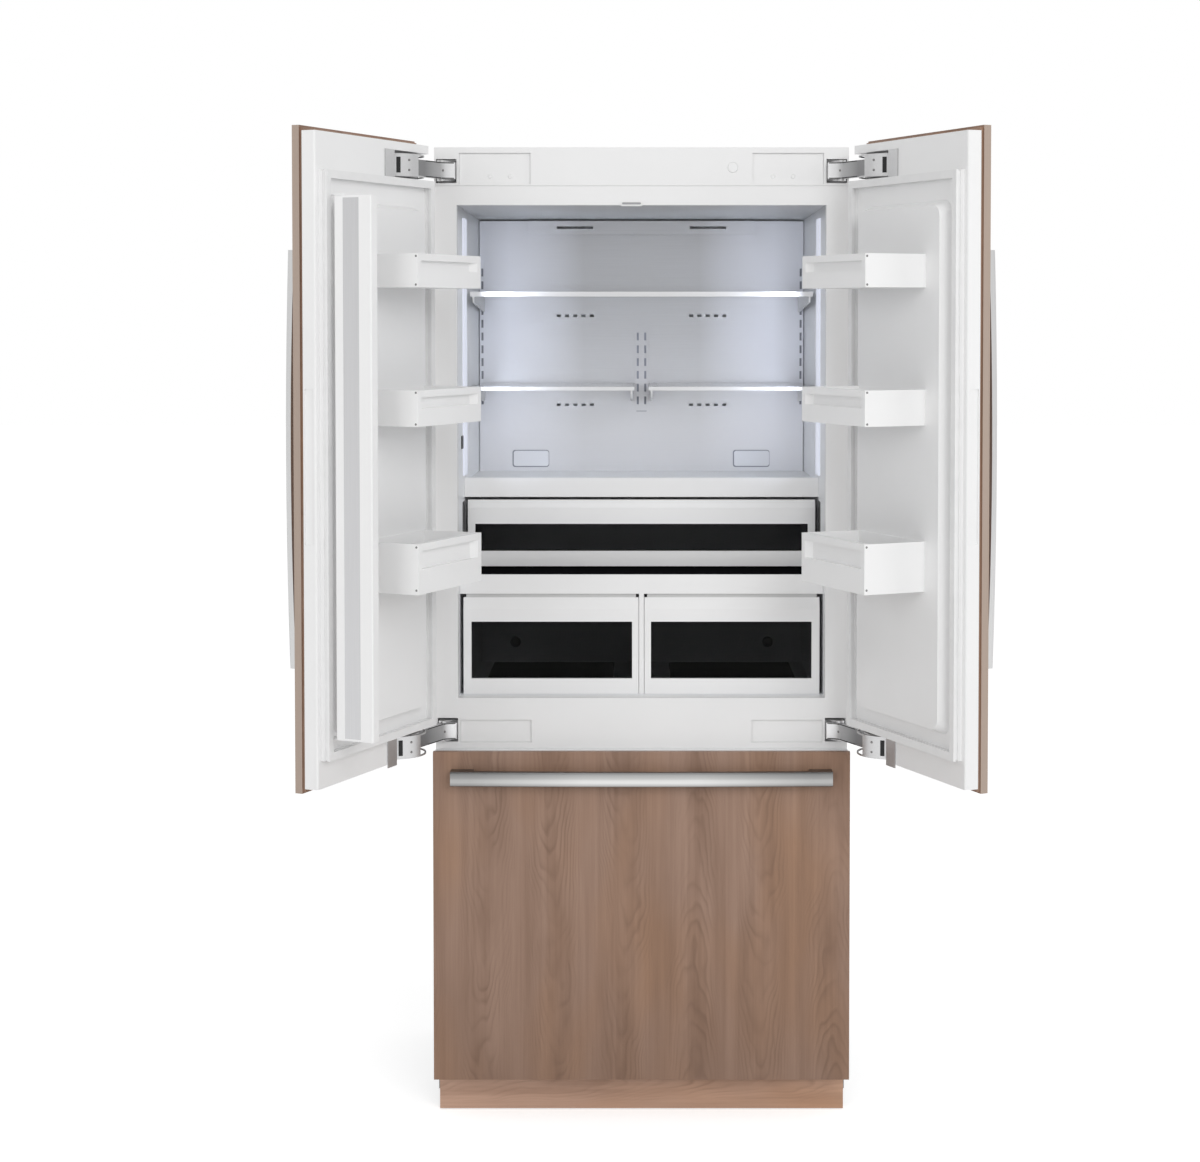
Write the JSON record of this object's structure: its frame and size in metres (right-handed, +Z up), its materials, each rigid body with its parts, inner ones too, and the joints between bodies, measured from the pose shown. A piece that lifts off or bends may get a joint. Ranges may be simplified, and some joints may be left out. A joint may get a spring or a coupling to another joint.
{
  "type": "bottom freezer refrigerator",
  "caption": "Built-in refrigerator with two wood-panelled doors standing open over a freezer drawer, lit white interior with shelves, bins and drawers.",
  "frame": {"origin": "on the floor, midway along the front face of the cabinet frame", "axes": "+X to the right seen from the front, +Y back into the cabinet, +Z up; the doors stand open"},
  "size_m": [1.4162, 1.1085, 2.1395],
  "materials": {
    "wood_panel": "satin",
    "toe_wood": "satin",
    "door_skin": "satin",
    "grey_steel": "satin",
    "white_plastic": "satin",
    "trim_plastic": "matte",
    "liner_plastic": "satin",
    "foam": "matte",
    "gasket_rubber": "matte",
    "handle_metal": "satin",
    "hinge_steel": "satin",
    "back_steel": "satin",
    "slide_steel": "satin",
    "shelf_glass": "gloss",
    "smoked_glass": "gloss",
    "black_glass": "gloss",
    "light_diffuser": "satin",
    "black_steel": "satin",
    "coil_aluminium": "satin",
    "board_green": "satin",
    "fan_plastic": "matte",
    "foot_rubber": "matte"
  },
  "bodies": {
    "cabinet": {"casing": "grey_steel", "insulation": "foam", "fridge_liner": "liner_plastic", "freezer_liner": "liner_plastic", "front_frame": "white_plastic", "upper_fascia": "white_plastic", "hinge_covers": "white_plastic", "hinge_brackets": "hinge_steel", "duct_panel": "back_steel", "shelf_rails": "back_steel", "shelf_glass": "shelf_glass", "shelf_frames": "trim_plastic", "deck": "white_plastic", "crisper_rail": "trim_plastic", "touch_panel": "black_glass", "light_strips": "light_diffuser", "base_frame": "grey_steel", "levelling_feet": "foot_rubber", "toe_kick": "toe_wood", "compressor": "black_steel", "condenser": "black_steel", "machine_cover": "grey_steel", "evaporator": "coil_aluminium", "control_board": "board_green", "freezer_slides": "slide_steel", "freezer_duct": "trim_plastic"},
    "condenser_fan": {"condenser_fan": "fan_plastic"},
    "evaporator_fan": {"evaporator_fan": "fan_plastic"},
    "power_button": {"power_button": "white_plastic"},
    "left_hinge_arms": {"left_hinge_arms": "hinge_steel"},
    "right_hinge_arms": {"right_hinge_arms": "hinge_steel"},
    "mullion": {"mullion": "trim_plastic", "mullion_plate": "back_steel"},
    "wide_drawer": {"wide_drawer": "trim_plastic", "wide_window": "smoked_glass"},
    "left_crisper": {"left_crisper": "trim_plastic", "left_crisper_window": "smoked_glass"},
    "right_crisper": {"right_crisper": "trim_plastic", "right_crisper_window": "smoked_glass"},
    "freezer_drawer": {"freezer_panel": "wood_panel", "freezer_shell": "door_skin", "freezer_gasket": "gasket_rubber", "freezer_handle": "handle_metal", "freezer_basket": "trim_plastic"},
    "freezer_runners": {"freezer_runners": "slide_steel"},
    "freezer_tray": {"freezer_tray": "trim_plastic"},
    "left_door": {"left_door_panel": "wood_panel", "left_door_shell": "door_skin", "left_door_liner": "white_plastic", "left_door_gasket": "gasket_rubber", "left_door_bins": "trim_plastic", "left_door_handle": "handle_metal", "left_hinge_housings": "hinge_steel"},
    "right_door": {"right_door_panel": "wood_panel", "right_door_shell": "door_skin", "right_door_liner": "white_plastic", "right_door_gasket": "gasket_rubber", "right_door_bins": "trim_plastic", "right_door_handle": "handle_metal", "right_hinge_housings": "hinge_steel"}
  },
  "joints": [
    {"name": "left_door_hinge", "type": "hinge", "parent": "cabinet", "child": "left_door", "pos_m": [-0.4805, -0.0605, 1.467], "axis": [0, 0, -1], "range_deg": [-114, 0]},
    {"name": "right_door_hinge", "type": "hinge", "parent": "cabinet", "child": "right_door", "pos_m": [0.4805, -0.0605, 1.467], "axis": [0, 0, 1], "range_deg": [-114, 0]},
    {"name": "left_arm_pivot", "type": "hinge", "parent": "cabinet", "child": "left_hinge_arms", "pos_m": [-0.4374, -0.0107, 1.467], "axis": [0, 0, -1], "range_deg": [-97.5, 0]},
    {"name": "right_arm_pivot", "type": "hinge", "parent": "cabinet", "child": "right_hinge_arms", "pos_m": [0.4374, -0.0107, 1.467], "axis": [0, 0, 1], "range_deg": [-97.5, 0]},
    {"name": "mullion_pivot", "type": "hinge", "parent": "left_door", "child": "mullion", "pos_m": [-0.58623, -0.50032, 1.467], "axis": [0, 0, 1], "range_deg": [-90.1, 0]},
    {"name": "wide_drawer_slide", "type": "slide", "parent": "cabinet", "child": "wide_drawer", "axis": [0, -1, 0], "range_m": [0, 0.32]},
    {"name": "left_crisper_slide", "type": "slide", "parent": "cabinet", "child": "left_crisper", "axis": [0, -1, 0], "range_m": [0, 0.35]},
    {"name": "right_crisper_slide", "type": "slide", "parent": "cabinet", "child": "right_crisper", "axis": [0, -1, 0], "range_m": [0, 0.35]},
    {"name": "freezer_slide", "type": "slide", "parent": "cabinet", "child": "freezer_drawer", "axis": [0, -1, 0], "range_m": [0, 0.43]},
    {"name": "freezer_runner_slide", "type": "slide", "parent": "cabinet", "child": "freezer_runners", "axis": [0, -1, 0], "range_m": [0, 0.216]},
    {"name": "freezer_tray_slide", "type": "slide", "parent": "freezer_drawer", "child": "freezer_tray", "axis": [0, 1, 0], "range_m": [0, 0.16]},
    {"name": "power_button_press", "type": "slide", "parent": "cabinet", "child": "power_button", "axis": [0, 1, 0], "range_m": [0, 0.002], "stiffness_N_per_m": 400},
    {"name": "condenser_fan_spin", "type": "hinge", "parent": "cabinet", "child": "condenser_fan", "pos_m": [-0.08, 0.472, 0.1235], "axis": [1, 0, 0], "continuous": true},
    {"name": "evaporator_fan_spin", "type": "hinge", "parent": "cabinet", "child": "evaporator_fan", "pos_m": [0, 0.47, 0.69], "axis": [0, 1, 0], "continuous": true}
  ],
  "couplings": [
    {"joint": "left_arm_pivot", "follows": "left_door_hinge", "ratio": 0.8541},
    {"joint": "right_arm_pivot", "follows": "right_door_hinge", "ratio": 0.8541},
    {"joint": "mullion_pivot", "follows": "left_door_hinge", "ratio": 0.7895},
    {"joint": "freezer_runner_slide", "follows": "freezer_slide", "ratio": 0.5}
  ]
}
